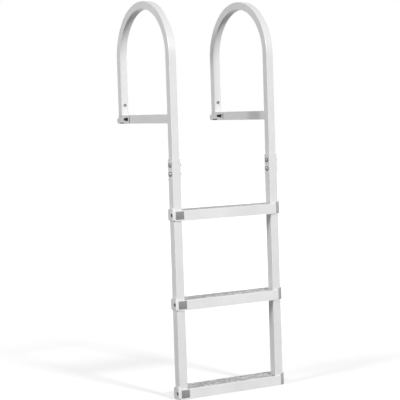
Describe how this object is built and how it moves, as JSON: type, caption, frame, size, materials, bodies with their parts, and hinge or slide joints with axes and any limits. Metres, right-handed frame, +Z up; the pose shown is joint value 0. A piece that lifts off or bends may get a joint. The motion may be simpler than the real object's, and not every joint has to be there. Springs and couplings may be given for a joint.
{
  "type": "dock ladder",
  "caption": "Rigid aluminium dock ladder with hooped square-tube handrails, deck bars along their feet, telescoping bolted side rails and hollow non-slip steps.",
  "frame": {"origin": "centre of the left deck bar's flat underside, midway between the legs of its hoop, at deck level", "axes": "+X along the steps from the left rail to the right rail as seen from the water, +Y away from the water onto the deck, +Z up"},
  "size_m": [0.435, 0.4095, 1.363],
  "materials": {
    "rail_aluminium": "satin mill",
    "step_aluminium": "satin mill, grooved top",
    "foot_casting": "as cast",
    "end_plastic": "fine moulded grain",
    "inlay_plastic": "fine moulded grain",
    "foot_rubber": "matt",
    "fastener_steel": "plain"
  },
  "bodies": {
    "root": {"left_side_rail": "rail_aluminium", "left_handrail": "rail_aluminium", "left_deck_bar": "rail_aluminium", "left_foot_block": "foot_casting", "left_foot_pad": "foot_rubber", "left_rail_plug": "end_plastic", "left_lower_joint_bolt": "fastener_steel", "left_lower_joint_nut": "fastener_steel", "left_upper_joint_bolt": "fastener_steel", "left_upper_joint_nut": "fastener_steel", "right_side_rail": "rail_aluminium", "right_handrail": "rail_aluminium", "right_deck_bar": "rail_aluminium", "right_foot_block": "foot_casting", "right_foot_pad": "foot_rubber", "right_rail_plug": "end_plastic", "right_lower_joint_bolt": "fastener_steel", "right_lower_joint_nut": "fastener_steel", "right_upper_joint_bolt": "fastener_steel", "right_upper_joint_nut": "fastener_steel", "bottom_step": "step_aluminium", "bottom_step_inlay": "inlay_plastic", "left_bottom_end_cap": "end_plastic", "right_bottom_end_cap": "end_plastic", "middle_step": "step_aluminium", "middle_step_inlay": "inlay_plastic", "left_middle_end_cap": "end_plastic", "right_middle_end_cap": "end_plastic", "top_step": "step_aluminium", "top_step_inlay": "inlay_plastic", "left_top_end_cap": "end_plastic", "right_top_end_cap": "end_plastic"}
  },
  "joints": []
}
